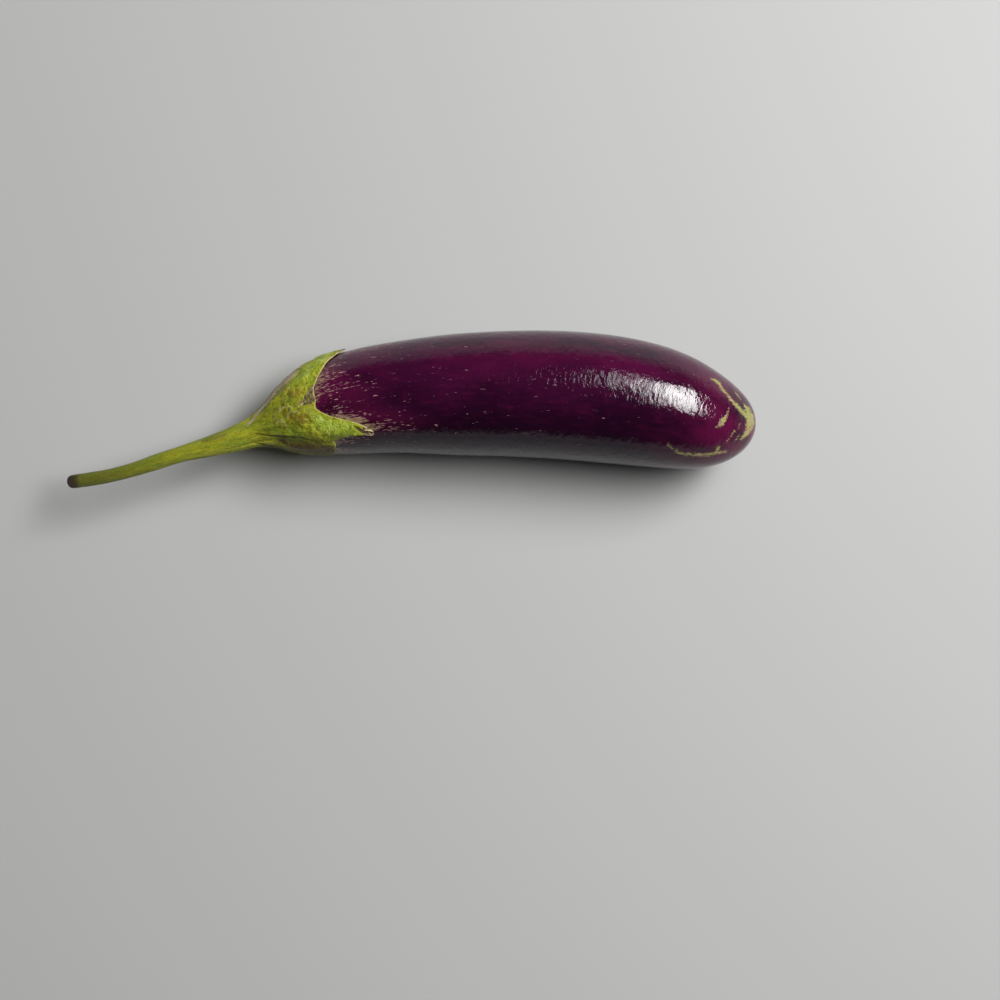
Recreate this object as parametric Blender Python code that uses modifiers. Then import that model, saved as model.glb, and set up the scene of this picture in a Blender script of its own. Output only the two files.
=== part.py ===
"""A long purple eggplant, as picked, lying on its side with its green calyx and stem.

Lengths are in metres. +Z is up, and the plane z = 0 is what the eggplant lies on. +X runs from
the stem's cut end to the blossom end, and the origin is on that plane, under the middle of the
whole. Each piece is turned about a straight axis first, and then bent along one middle line.
"""

import math

import bmesh
import bpy
import numpy as np

MM = 0.001

# The middle line of stem and fruit in millimetres, from the stem's cut end to the blossom end.
# Along the belly it is a little lower than the fruit's radius, so the underside is pressed flat.
MIDDLE_LINE = (
    (-141.2, -29.8, 24.5), (-119.5, -26.1, 25.3), (-94.9, -18.3, 24.5), (-76, -13.1, 23.2),
    (-52, -4.5, 22), (-29, 2, 22.4), (12, 6, 24.2), (45, 6.5, 25.3), (78, 4.6, 25.8),
    (111, -1.4, 25.4), (128, -5.8, 24.6), (141.6, -7.7, 23.8),
)
# A cross-section stands square to the line between the points this far before and behind it.
SECTION_REACH = 25 * MM

# The fruit's own length along the middle line, and its thickest radius.
FRUIT_LENGTH = 204.5 * MM
BELLY_RADIUS = 26.5 * MM
# Share of the fruit's length from its crown, and the share of the belly's radius there.
SWELL = (
    (0, 0.49), (0.05, 0.53), (0.1, 0.67), (0.15, 0.77), (0.2, 0.823), (0.28, 0.875),
    (0.36, 0.93), (0.48, 0.975), (0.6, 1), (0.8, 1), (1, 1),
)
# The crown under the calyx and the blossom end are domes that take up these shares of the length.
CROWN_SHARE = 0.1
CROWN_ROUNDNESS = 3
BLOSSOM_SHARE = 0.4
BLOSSOM_ROUNDNESS = 3.2

# The stem, from its cut end to the fruit's crown, and where along it the cup starts to widen.
STEM_LENGTH = 84.5 * MM
FLARE_START = 76 * MM
# The cut end's rounded edge, from the axis outwards: distance and radius in millimetres.
CUT_END = ((0, 0), (0, 1), (0.5, 2), (1.3, 2.55))
# Outside of the stem and of the calyx's cup in millimetres: distance from the cut end, and radius.
GREEN_OUTSIDE = (
    (2.4, 2.75), (13, 2.8), (24, 2.75), (32, 3), (40, 3.25), (49, 3.3), (57, 3.95), (66, 4.75),
    (74, 5.5), (79, 6.1), (84, 8), (90, 11.5), (94, 14), (99, 16.4), (103, 18), (107, 19.7),
)

# The calyx: a cup over the crown, whose rim is drawn out along the fruit in lobes.
FIT_GAP = 0.3 * MM
CROWN_GAP = 0.4 * MM
CUP_START = 4 * MM
BAY_REACH = 21.5 * MM
RIM_THICKNESS = 1 * MM
RIB_HEIGHT = 0.5 * MM
RIB_WIDTH = 9
RIB_START = 60 * MM
# Each lobe: its turn round the fruit in degrees, from the top towards +Y; how far past the crown
# it reaches; how many degrees its two flanks take up and how deeply each curves in; how blunt its
# tip is; and how far the tip stands off the skin, in millimetres, and sways round it, in degrees.
LOBES = (
    {"turn": 88, "reach": 39, "flanks": (62, 40), "curves": (1, 1.3), "blunt": 1.1, "lift": 0.6, "sway": 0},
    {"turn": 22, "reach": 24.8, "flanks": (48, 36), "curves": (1, 1), "blunt": 1.1, "lift": 0, "sway": 0},
    {"turn": -32, "reach": 45.7, "flanks": (14, 43), "curves": (1.2, 3), "blunt": 1.2, "lift": 1, "sway": -5},
    {"turn": -50, "reach": 26.5, "flanks": (46, 18), "curves": (0.9, 1), "blunt": 1.1, "lift": 0, "sway": 0},
    {"turn": -135, "reach": 36, "flanks": (36, 36), "curves": (1.6, 2), "blunt": 1.1, "lift": 0.6, "sway": 0},
    {"turn": 160, "reach": 37, "flanks": (36, 36), "curves": (2, 1.6), "blunt": 1.1, "lift": 0.6, "sway": 0},
)

FRUIT_SIDES = 60
FRUIT_RINGS = 40
GREEN_SIDES = 120
STEM_RINGS = 12
CUP_RINGS = 12
MERGE_DISTANCE = 0.01 * MM
SHARP_ANGLE = 60

SKIN = {"colour": (0.045, 0.004, 0.028), "roughness": 0.22}
GREEN = {"colour": (0.21, 0.27, 0.035), "roughness": 0.55}


def smooth_through(knots, values, places):
    """The natural cubic spline through values at knots, read at places and straight past its ends."""
    x = np.asarray(knots, float)
    y = np.asarray(values, float).reshape(len(x), -1)
    step = np.diff(x)
    slope = np.diff(y, axis=0) / step[:, None]
    system = np.eye(len(x))
    right = np.zeros_like(y)
    for i in range(1, len(x) - 1):
        system[i, i - 1 : i + 2] = step[i - 1], 2 * (step[i - 1] + step[i]), step[i]
        right[i] = 6 * (slope[i] - slope[i - 1])
    bend = np.linalg.solve(system, right)

    place = np.atleast_1d(np.asarray(places, float))
    inside = np.clip(place, x[0], x[-1])
    i = np.clip(np.searchsorted(x, inside) - 1, 0, len(x) - 2)
    width, before, after = step[i][:, None], (inside - x[i])[:, None], (x[i + 1] - inside)[:, None]
    curve = (bend[i] * after**3 + bend[i + 1] * before**3) / (6 * width)
    curve += (y[i] / width - bend[i] * width / 6) * after
    curve += (y[i + 1] / width - bend[i + 1] * width / 6) * before

    start_slope = slope[0] - step[0] * bend[1] / 6
    end_slope = slope[-1] + step[-1] * bend[-2] / 6
    beyond = (place - inside)[:, None]
    curve += np.where(beyond < 0, start_slope, end_slope) * beyond
    return curve if np.ndim(values) > 1 else curve[:, 0]


def middle_line(along):
    """Points of the middle line at distances from the stem's cut end."""
    points = np.array(MIDDLE_LINE) * MM
    chords = np.append(0, np.cumsum(np.linalg.norm(np.diff(points, axis=0), axis=1)))
    fine = np.linspace(-SECTION_REACH, chords[-1] + SECTION_REACH, 2000)
    steps = np.linalg.norm(np.diff(smooth_through(chords, points, fine), axis=0), axis=1)
    lengths = np.append(0, np.cumsum(steps)) - SECTION_REACH
    return smooth_through(chords, points, np.interp(along, lengths, fine))


def bent(straight):
    """Points of a straight piece, with x from the stem's cut end, laid along the middle line."""
    along = straight[:, 0]
    ahead = middle_line(along + SECTION_REACH) - middle_line(along - SECTION_REACH)
    ahead /= np.linalg.norm(ahead, axis=1)[:, None]
    side = np.cross((0, 0, 1), ahead)
    side /= np.linalg.norm(side, axis=1)[:, None]
    up = np.cross(ahead, side)
    return middle_line(along) + straight[:, 1:2] * side + straight[:, 2:3] * up


def fruit_radius(past_crown):
    """The fruit's radius at distances from its crown."""
    share = np.clip(np.atleast_1d(past_crown) / FRUIT_LENGTH, 0, 1)
    body = BELLY_RADIUS * smooth_through(*zip(*SWELL), share)
    to_crown = np.clip(1 - share / CROWN_SHARE, 0, 1)
    to_blossom = np.clip(1 - (1 - share) / BLOSSOM_SHARE, 0, 1)
    return body * np.sqrt((1 - to_crown**CROWN_ROUNDNESS) * (1 - to_blossom**BLOSSOM_ROUNDNESS))


def fruit_outline():
    """The fruit's outline from crown to blossom end, with its points closest at both ends."""
    past_crown = FRUIT_LENGTH * (1 - np.cos(np.linspace(0, math.pi, FRUIT_RINGS))) / 2
    return list(zip(STEM_LENGTH + past_crown, fruit_radius(past_crown)))


def green_outline():
    """The outline of stem and cup: from the cut end to the rim on the outside, and back inside."""
    distance, radius = np.array(GREEN_OUTSIDE).T * MM
    rim = STEM_LENGTH + BAY_REACH
    outside = np.append(
        np.linspace(distance[0], FLARE_START, STEM_RINGS, endpoint=False),
        np.linspace(FLARE_START, rim - RIM_THICKNESS, CUP_RINGS),
    )
    inside = BAY_REACH * (1 - np.sin(np.linspace(0, math.pi / 2, CUP_RINGS)))
    inner_radius = fruit_radius(inside) + FIT_GAP
    outline = [(x * MM, r * MM) for x, r in CUT_END]
    outline += zip(outside, smooth_through(distance, radius, outside))
    outline.append((rim, inner_radius[0] + RIM_THICKNESS / 2))
    outline += zip(STEM_LENGTH + inside - CROWN_GAP * (1 - inside / BAY_REACH), inner_radius)
    outline.append((STEM_LENGTH - CROWN_GAP, 0))
    return outline


def angle_between(angle, other):
    """The turn from other to angle, between minus and plus half a turn."""
    return (angle - other + math.pi) % (2 * math.pi) - math.pi


def lobe_share(lobe, angle):
    """1 over a lobe's blunt tip, falling to 0 at the feet of its flanks."""
    off = angle_between(angle, math.radians(lobe["turn"]))
    before, after = np.radians(lobe["flanks"])
    flank = np.where(off < 0, before, after)
    curve = np.where(off < 0, *lobe["curves"])
    return np.clip(lobe["blunt"] * (1 - np.abs(off) / flank), 0, 1) ** curve


def drawn_out(straight):
    """The cup's rim drawn out in its lobes. Each point keeps its height above the fruit's skin."""
    along, y, z = straight.T
    angle, radius = np.arctan2(y, z), np.hypot(y, z)
    past_crown = along - STEM_LENGTH
    in_cup = past_crown > CUP_START

    reach = BAY_REACH + sum((lobe["reach"] * MM - BAY_REACH) * lobe_share(lobe, angle) for lobe in LOBES)
    stretch = (reach - CUP_START) / (BAY_REACH - CUP_START)
    stretched = np.where(in_cup, CUP_START + (past_crown - CUP_START) * stretch, past_crown)
    height = radius - fruit_radius(past_crown)
    new_radius = np.where(in_cup, fruit_radius(stretched) + height, radius)

    outside = height > RIM_THICKNESS / 2 + FIT_GAP
    rib_growth = np.clip((along - RIB_START) / (STEM_LENGTH - RIB_START), 0, 1)
    turn = angle.copy()
    for lobe in LOBES:
        to_tip = np.clip((stretched - BAY_REACH) / (lobe["reach"] * MM - BAY_REACH), 0, 1)
        on_tip = lobe_share(lobe, angle) * to_tip**2
        new_radius += lobe["lift"] * MM * on_tip
        turn += math.radians(lobe["sway"]) * on_tip
        off = np.degrees(angle_between(angle, math.radians(lobe["turn"])))
        new_radius += np.where(outside, RIB_HEIGHT * rib_growth * np.exp(-((off / RIB_WIDTH) ** 2)), 0)
    return np.column_stack([STEM_LENGTH + stretched, new_radius * np.sin(turn), new_radius * np.cos(turn)])


def turned(name, outline, sides):
    """A solid turned about the X axis, from an outline of (x, radius) points that ends on the axis."""
    profile = bpy.data.meshes.new(name + "_profile")
    profile.from_pydata([(x, 0, r) for x, r in outline], [(i, i + 1) for i in range(len(outline) - 1)], [])
    blank = bpy.data.objects.new(name + "_blank", profile)
    bpy.context.scene.collection.objects.link(blank)
    screw = blank.modifiers.new("turn", "SCREW")
    screw.axis = "X"
    screw.steps = screw.render_steps = sides
    screw.use_merge_vertices = True
    screw.merge_threshold = MERGE_DISTANCE
    bpy.context.view_layer.update()
    mesh = bpy.data.meshes.new_from_object(blank.evaluated_get(bpy.context.evaluated_depsgraph_get()))
    mesh.name = name
    bpy.data.objects.remove(blank)
    bm = bmesh.new()
    bm.from_mesh(mesh)
    bmesh.ops.remove_doubles(bm, verts=bm.verts, dist=MERGE_DISTANCE)
    bmesh.ops.recalc_face_normals(bm, faces=bm.faces)
    bm.to_mesh(mesh)
    bm.free()
    return mesh


def points_of(mesh):
    """The mesh's points as rows of x, y and z."""
    points = np.empty(len(mesh.vertices) * 3)
    mesh.vertices.foreach_get("co", points)
    return points.reshape(-1, 3)


def put_points(mesh, points):
    """Moves the mesh's points to rows of x, y and z."""
    mesh.vertices.foreach_set("co", points.ravel())
    mesh.update()


def add_piece(mesh, material, collection):
    """A named object in the eggplant's collection, smooth on its round faces."""
    mesh.shade_smooth()
    mesh.set_sharp_from_angle(angle=math.radians(SHARP_ANGLE))
    mesh.materials.append(material)
    collection.objects.link(bpy.data.objects.new(mesh.name, mesh))


def make_material(name, colour, roughness):
    """A plain material of one colour."""
    material = bpy.data.materials.new(name)
    material.use_nodes = True
    shader = material.node_tree.nodes["Principled BSDF"]
    shader.inputs["Base Color"].default_value = (*colour, 1)
    shader.inputs["Roughness"].default_value = roughness
    shader.inputs["Metallic"].default_value = 0
    return material


def make_fruit(collection):
    """The purple fruit, one solid from its crown to its blossom end, pressed flat where it lies."""
    mesh = turned("fruit", fruit_outline(), FRUIT_SIDES)
    points = bent(points_of(mesh))
    points[:, 2] = np.maximum(points[:, 2], 0)
    put_points(mesh, points)
    add_piece(mesh, make_material("purple_skin", **SKIN), collection)


def make_calyx_and_stem(collection):
    """The green calyx and the stem it grew on, one solid with a hollow for the fruit's crown."""
    mesh = turned("calyx_and_stem", green_outline(), GREEN_SIDES)
    put_points(mesh, bent(drawn_out(points_of(mesh))))
    add_piece(mesh, make_material("green_calyx", **GREEN), collection)


def centre(collection):
    """Moves the pieces together until the middle of the whole's length and width is over the origin."""
    everything = np.vstack([points_of(piece.data) for piece in collection.objects])
    middle = (everything.min(axis=0) + everything.max(axis=0)) / 2
    middle[2] = 0
    for piece in collection.objects:
        put_points(piece.data, points_of(piece.data) - middle)


def main():
    for leftover in list(bpy.data.objects):
        bpy.data.objects.remove(leftover)
    collection = bpy.data.collections.new("eggplant")
    bpy.context.scene.collection.children.link(collection)
    make_fruit(collection)
    make_calyx_and_stem(collection)
    centre(collection)


main()
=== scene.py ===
"""The looks of a long purple eggplant that lies on its side with its green calyx and stem.

Fruit and calyx are grown here again on the solids' own middle line and outlines, fine enough for
the relief of skin and leaf, with a dry tip added. Each is shaped straight first, with +X from the
stem's cut end to the blossom end, marked there, and then bent along the middle line. Lengths are
in metres.
"""

import logging
import math
from dataclasses import dataclass
from enum import Enum
from typing import Any

import bpy
import numpy as np
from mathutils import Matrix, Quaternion, Vector


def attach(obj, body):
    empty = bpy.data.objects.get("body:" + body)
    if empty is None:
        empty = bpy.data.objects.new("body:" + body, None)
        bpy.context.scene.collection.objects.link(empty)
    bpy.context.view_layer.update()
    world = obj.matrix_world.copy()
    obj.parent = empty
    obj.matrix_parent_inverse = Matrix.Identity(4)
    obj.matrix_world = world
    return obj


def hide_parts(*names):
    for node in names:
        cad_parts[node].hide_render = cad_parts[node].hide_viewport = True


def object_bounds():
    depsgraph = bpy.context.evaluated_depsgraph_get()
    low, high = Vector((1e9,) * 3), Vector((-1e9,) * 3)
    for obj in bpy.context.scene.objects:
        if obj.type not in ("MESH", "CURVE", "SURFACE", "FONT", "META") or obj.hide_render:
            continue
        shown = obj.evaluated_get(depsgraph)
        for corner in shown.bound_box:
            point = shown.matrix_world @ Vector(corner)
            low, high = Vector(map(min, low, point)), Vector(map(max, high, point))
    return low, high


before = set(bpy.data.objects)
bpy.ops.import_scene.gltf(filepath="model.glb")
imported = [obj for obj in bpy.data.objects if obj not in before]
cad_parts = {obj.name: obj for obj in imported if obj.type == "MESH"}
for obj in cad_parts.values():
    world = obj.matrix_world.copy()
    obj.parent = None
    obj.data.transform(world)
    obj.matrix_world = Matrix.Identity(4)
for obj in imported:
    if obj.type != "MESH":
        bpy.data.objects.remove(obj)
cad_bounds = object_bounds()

MM = 0.001
BODY = "root"
GROWN = "grown"

log = logging.getLogger("eggplant")

Points = np.ndarray
Pair = tuple[float, float]
Triple = tuple[float, float, float]
Colour = Triple
Places = tuple[Pair, ...]


def smooth_through(knots: Any, values: Any, places: Any) -> Points:
    """Reads the natural cubic spline through values at knots, straight past its ends.

    Args:
        knots: Where the values stand, in rising order.
        values: A number or a row of numbers for each knot.
        places: Where the spline is read.

    Returns:
        A number or a row for each place.
    """
    x = np.asarray(knots, float)
    y = np.asarray(values, float).reshape(len(x), -1)
    step = np.diff(x)
    slope = np.diff(y, axis=0) / step[:, None]
    system = np.eye(len(x))
    right = np.zeros_like(y)
    for i in range(1, len(x) - 1):
        system[i, i - 1 : i + 2] = step[i - 1], 2 * (step[i - 1] + step[i]), step[i]
        right[i] = 6 * (slope[i] - slope[i - 1])
    bend = np.linalg.solve(system, right)

    place = np.atleast_1d(np.asarray(places, float))
    inside = np.clip(place, x[0], x[-1])
    i = np.clip(np.searchsorted(x, inside) - 1, 0, len(x) - 2)
    width, before, after = step[i][:, None], (inside - x[i])[:, None], (x[i + 1] - inside)[:, None]
    curve = (bend[i] * after**3 + bend[i + 1] * before**3) / (6 * width)
    curve += (y[i] / width - bend[i] * width / 6) * after
    curve += (y[i + 1] / width - bend[i + 1] * width / 6) * before

    start_slope = slope[0] - step[0] * bend[1] / 6
    end_slope = slope[-1] + step[-1] * bend[-2] / 6
    beyond = (place - inside)[:, None]
    curve += np.where(beyond < 0, start_slope, end_slope) * beyond
    return curve if np.ndim(values) > 1 else curve[:, 0]


def smooth_step(low: float, high: float, values: Points) -> Points:
    """Rises smoothly from 0 at low to 1 at high, or falls where low is above high."""
    share = np.clip((values - low) / (high - low), 0, 1)
    return share * share * (3 - 2 * share)


def lattice(places: Points) -> Points:
    """Makes smooth random heights over a lattice of whole numbers, the same each run.

    Args:
        places: Rows of x, y and z, in cells of the lattice.

    Returns:
        A height between -1 and 1 for each row.
    """
    cell = np.floor(places).astype(np.int64)
    share = places - cell
    share = share * share * (3 - 2 * share)
    total = np.zeros(len(places))
    for corner in np.ndindex(2, 2, 2):
        mixed = (cell + corner) * (73856093, 19349663, 83492791)
        code = (mixed[:, 0] ^ mixed[:, 1] ^ mixed[:, 2]) * 2654435761 % 4294967296
        code = (code ^ (code >> 15)) * 2246822519 % 4294967296
        weight = np.prod(np.where(corner, share, 1 - share), axis=1)
        total += weight * (code / 2147483648 - 1)
    return total


def cloud(points: Points, size: Triple, seed: float, depth: int = 3) -> Points:
    """Reads a smooth cloud pattern between -1 and 1.

    Args:
        points: Rows of x, y and z.
        size: The size of the pattern's largest lumps along x, y and z.
        seed: Moves to another part of the pattern.
        depth: How many finer layers it has.

    Returns:
        The pattern's value at each point.
    """
    layers = [lattice(points / np.asarray(size) * 2**i + 37.7 * seed + 11.3 * i) / 2**i for i in range(depth)]
    return sum(layers) / (2 - 2 ** (1 - depth))


def angle_between(angle: Points, other: float) -> Points:
    """The turn from other to each angle, between minus and plus half a turn."""
    return (angle - other + math.pi) % (2 * math.pi) - math.pi


@dataclass(frozen=True)
class MiddleLine:
    """The line that stem and fruit are bent along, from the stem's cut end to the blossom end."""

    knots_mm: tuple[Triple, ...] = (
        (-141.2, -29.8, 24.5), (-119.5, -26.1, 25.3), (-94.9, -18.3, 24.5), (-76, -13.1, 23.2),
        (-52, -4.5, 22), (-29, 2, 22.4), (12, 6, 24.2), (45, 6.5, 25.3), (78, 4.6, 25.8),
        (111, -1.4, 25.4), (128, -5.8, 24.6), (141.6, -7.7, 23.8),
    )
    section_reach: float = 25 * MM
    fine_steps: int = 2000

    def at(self, along: Points) -> Points:
        """Walks along the line.

        Args:
            along: Distances from the cut end.

        Returns:
            The line's point at each distance.
        """
        points = np.array(self.knots_mm) * MM
        chords = np.append(0, np.cumsum(np.linalg.norm(np.diff(points, axis=0), axis=1)))
        fine = np.linspace(-self.section_reach, chords[-1] + self.section_reach, self.fine_steps)
        steps = np.linalg.norm(np.diff(smooth_through(chords, points, fine), axis=0), axis=1)
        lengths = np.append(0, np.cumsum(steps)) - self.section_reach
        return smooth_through(chords, points, np.interp(along, lengths, fine))

    def lay(self, straight: Points) -> Points:
        """Bends a straight shape along the line.

        Args:
            straight: Points with x from the cut end, y to the side and z up.

        Returns:
            The same points in their places on the bent shape.
        """
        along = straight[:, 0]
        ahead = self.at(along + self.section_reach) - self.at(along - self.section_reach)
        ahead /= np.linalg.norm(ahead, axis=1)[:, None]
        side = np.cross((0, 0, 1), ahead)
        side /= np.linalg.norm(side, axis=1)[:, None]
        up = np.cross(ahead, side)
        return self.at(along) + straight[:, 1:2] * side + straight[:, 2:3] * up


@dataclass(frozen=True)
class FruitForm:
    """The straight fruit's outline."""

    length: float = 204.5 * MM
    belly_radius: float = 26.5 * MM
    swell: Places = (
        (0, 0.49), (0.05, 0.53), (0.1, 0.67), (0.15, 0.77), (0.2, 0.823), (0.28, 0.875),
        (0.36, 0.93), (0.48, 0.975), (0.6, 1), (0.8, 1), (1, 1),
    )
    crown_share: float = 0.1
    crown_roundness: float = 3
    blossom_share: float = 0.4
    blossom_roundness: float = 3.2

    def radius(self, past_crown: Points) -> Points:
        """Reads the outline.

        Args:
            past_crown: Distances from the crown.

        Returns:
            The fruit's radius at each distance.
        """
        share = np.clip(np.atleast_1d(past_crown) / self.length, 0, 1)
        body = self.belly_radius * smooth_through(*zip(*self.swell), share)
        to_crown = np.clip(1 - share / self.crown_share, 0, 1)
        to_blossom = np.clip(1 - (1 - share) / self.blossom_share, 0, 1)
        domes = (1 - to_crown**self.crown_roundness) * (1 - to_blossom**self.blossom_roundness)
        return body * np.sqrt(domes)


@dataclass(frozen=True)
class Lobe:
    """One lobe of the calyx. Turns and flanks are in degrees, turns from the top towards +Y."""

    turn: float
    reach: float
    flanks: Pair
    curves: Pair
    blunt: float = 1.1
    lift: float = 0
    sway: float = 0
    sharpness: float = 9

    def off(self, angle: Points) -> Points:
        """How far each angle is from the lobe's own line, in degrees."""
        return np.degrees(angle_between(angle, math.radians(self.turn)))

    def share(self, angle: Points) -> Points:
        """Reads the lobe's form across its width.

        Args:
            angle: Turns round the fruit, in radians.

        Returns:
            1 over the blunt tip, falling to 0 at the feet of the flanks.
        """
        off = self.off(angle)
        flank = np.where(off < 0, *self.flanks)
        curve = np.where(off < 0, *self.curves)
        rise = self.blunt * (1 - np.abs(off) / flank)
        rounded = -np.logaddexp(-self.sharpness * rise, -self.sharpness) / self.sharpness
        return np.clip(rounded, 0, 1) ** curve


@dataclass(frozen=True)
class GreenForm:
    """The straight stem's outline and the cup with its lobes."""

    stem_length: float = 84.5 * MM
    flare_start: float = 76 * MM
    cut_end_mm: Places = ((0, 0), (0, 1), (0.5, 2), (1.3, 2.55))
    outside_mm: Places = (
        (2.4, 2.75), (13, 2.8), (24, 2.75), (32, 3), (40, 3.25), (49, 3.3), (57, 3.95), (66, 4.75),
        (74, 5.5), (79, 6.1), (84, 8), (90, 11.5), (94, 14), (99, 16.4), (103, 18), (107, 19.7),
    )
    fit_gap: float = 0.3 * MM
    crown_gap: float = 0.4 * MM
    cup_start: float = 4 * MM
    bay_reach: float = 21.5 * MM
    rim_thickness: float = 1 * MM
    rib_start: float = 60 * MM
    lobes: tuple[Lobe, ...] = (
        Lobe(88, 39 * MM, (62, 40), (1, 1.3), lift=0.6 * MM),
        Lobe(22, 24.8 * MM, (48, 36), (1, 1)),
        Lobe(-32, 44.4 * MM, (14, 43), (1.2, 3), blunt=1.2, lift=0.8 * MM, sway=-5, sharpness=25),
        Lobe(-50, 27.8 * MM, (46, 18), (0.8, 1), blunt=1.2),
        Lobe(-135, 36 * MM, (36, 36), (1.6, 2), lift=0.6 * MM),
        Lobe(160, 37 * MM, (36, 36), (2, 1.6), lift=0.6 * MM),
    )

    def reach(self, angle: Points) -> Points:
        """How far past the crown the rim reaches at each angle."""
        return self.bay_reach + sum((lobe.reach - self.bay_reach) * lobe.share(angle) for lobe in self.lobes)


class Mark(Enum):
    """The names of the marks that a mesh carries for its material."""

    SCAR = "scar"
    BLUSH = "blush_and_lit_flush"
    PAST_RIM = "past_rim"
    TO_RIM = "to_rim"
    OCHRE = "ochre"
    BEIGE = "beige"
    SCUFFED = "scuffed_sheen"
    CREASED = "creased"
    TORN = "torn"
    SHADED = "shaded"
    FLESHY = "fleshy"
    DRY = "dry"
    CUT = "cut"


@dataclass(frozen=True)
class Trail:
    """A marking along a path on the upper side: x, y and half its width, in millimetres."""

    places_mm: tuple[Triple, ...]

    def outside(self, points: Points, lowest: float) -> Points:
        """How far each point is outside the trail, seen from above, in millimetres.

        Args:
            points: The bent shape's points.
            lowest: Points below this height count as far outside.

        Returns:
            The distances, negative on the trail and at most 20.
        """
        path = np.array(self.places_mm)
        places = points[:, :2] / MM
        nearest = np.full(len(points), 20.0)
        for start, end in zip(path[:-1], path[1:]):
            run = end[:2] - start[:2]
            share = np.clip((places - start[:2]) @ run / (run @ run), 0, 1)
            away = np.linalg.norm(places - start[:2] - share[:, None] * run, axis=1)
            nearest = np.minimum(nearest, away - start[2] - share * (end[2] - start[2]))
        return np.where(points[:, 2] > lowest, nearest, 20.0)


def outside_all(trails: tuple[Trail, ...], points: Points, lowest: float) -> Points:
    """How far each point is outside the nearest of several trails."""
    return np.min([trail.outside(points, lowest) for trail in trails], axis=0)


class Shading:
    """A material's node tree, built a node at a time."""

    def __init__(self, name: str) -> None:
        """Starts a material of that name with a Principled shader on its output."""
        self.material = bpy.data.materials.new(name)
        self.material.use_nodes = True
        self.tree = self.material.node_tree
        self.shader = self.tree.nodes["Principled BSDF"]

    def add(self, kind: str, inputs: dict[Any, Any] | None = None, **settings: Any) -> bpy.types.Node:
        """Adds a node.

        Args:
            kind: The node's type, without the ShaderNode before it.
            inputs: A socket to link or a value to set, for each input's name or number.
            **settings: The node's own properties.

        Returns:
            The new node.
        """
        node = self.tree.nodes.new("ShaderNode" + kind)
        for name, value in settings.items():
            setattr(node, name, value)
        for name, value in (inputs or {}).items():
            if isinstance(value, bpy.types.NodeSocket):
                self.tree.links.new(value, node.inputs[name])
            else:
                node.inputs[name].default_value = value
        return node

    def mark(self, mark: Mark) -> bpy.types.NodeSocket:
        """The number that the mesh carries as that mark."""
        return self.add("Attribute", attribute_name=mark.value).outputs["Fac"]

    def grown(self, scale: Triple) -> bpy.types.NodeSocket:
        """The place on the straight shape, scaled, so that a pattern follows the bend."""
        place = self.add("Attribute", attribute_name=GROWN).outputs["Vector"]
        return self.add("Mapping", {"Vector": place, "Scale": scale}).outputs["Vector"]

    def noise(self, scale: Triple, detail: float = 3, rough: float = 0.5) -> bpy.types.NodeSocket:
        """A cloud pattern from 0 to 1 on the straight shape."""
        inputs = {"Vector": self.grown(scale), "Scale": 1.0, "Detail": detail, "Roughness": rough}
        return self.add("TexNoise", inputs).outputs["Fac"]

    def between(self, value: Any, low: Any, high: Any) -> bpy.types.NodeSocket:
        """0 at low and 1 at high, smoothly, or the other way round where low is above high."""
        inputs = {"Value": value, "From Min": low, "From Max": high}
        return self.add("MapRange", inputs, interpolation_type="SMOOTHSTEP").outputs["Result"]

    def maths(self, operation: str, *values: Any) -> bpy.types.NodeSocket:
        """One step of arithmetic."""
        return self.add("Math", dict(enumerate(values)), operation=operation).outputs["Value"]

    def mix(self, share: Any, first: Any, second: Any) -> bpy.types.NodeSocket:
        """Mixes two colours.

        Args:
            share: How much there is of the second, from 0 to 1.
            first: A colour or a socket.
            second: A colour or a socket.

        Returns:
            The mixed colour.
        """
        inputs = {0: share}
        for socket, colour in ((6, first), (7, second)):
            inputs[socket] = colour if isinstance(colour, bpy.types.NodeSocket) else (*colour, 1)
        return self.add("Mix", inputs, data_type="RGBA").outputs[2]

    def bump(self, height: Any, distance: float) -> bpy.types.NodeSocket:
        """Fine relief that is only seen in the light on it."""
        return self.add("Bump", {"Height": height, "Distance": distance}).outputs["Normal"]

    def wear(self, **inputs: Any) -> None:
        """Sets the shader's inputs, with underscores for the spaces in their names."""
        for name, value in inputs.items():
            socket = self.shader.inputs[name.replace("_", " ")]
            if isinstance(value, bpy.types.NodeSocket):
                self.tree.links.new(value, socket)
            else:
                socket.default_value = value


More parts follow.
